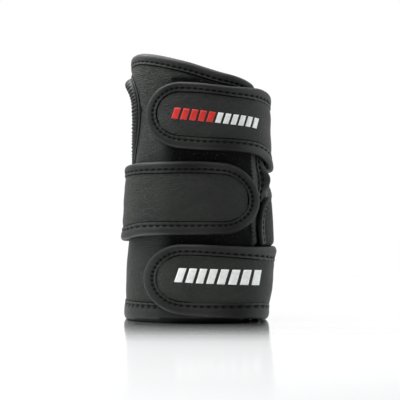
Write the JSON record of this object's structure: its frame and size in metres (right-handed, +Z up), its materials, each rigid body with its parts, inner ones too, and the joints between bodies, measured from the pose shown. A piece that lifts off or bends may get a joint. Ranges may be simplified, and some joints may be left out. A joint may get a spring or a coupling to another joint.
{
  "type": "bowling wrist support glove",
  "caption": "Open padded sleeve for hand, wrist and forearm with a thumb hole, taped edges and round-tipped straps that press onto a loop patch.",
  "frame": {"origin": "centre of the bounding box, on the plane the forearm end rests on", "axes": "+Z up from the forearm end to the hand end, -Y the way the back of the hand faces, -X the thumb side, +X the little-finger side"},
  "size_m": [0.1072, 0.084, 0.1812],
  "materials": {
    "leather": "fine-grained black synthetic leather over foam, semi-matt",
    "binding": "smooth soft black edge tape, semi-matt",
    "loop": "black brushed loop fabric"
  },
  "bodies": {
    "root": {"wrap_body": "leather", "wrap_binding": "binding", "thumb_binding": "binding", "loop_patch": "loop", "hand_strap": "leather", "hand_strap_binding": "binding", "wrist_strap": "leather", "wrist_strap_binding": "binding", "forearm_strap": "leather", "forearm_strap_binding": "binding"}
  },
  "joints": []
}
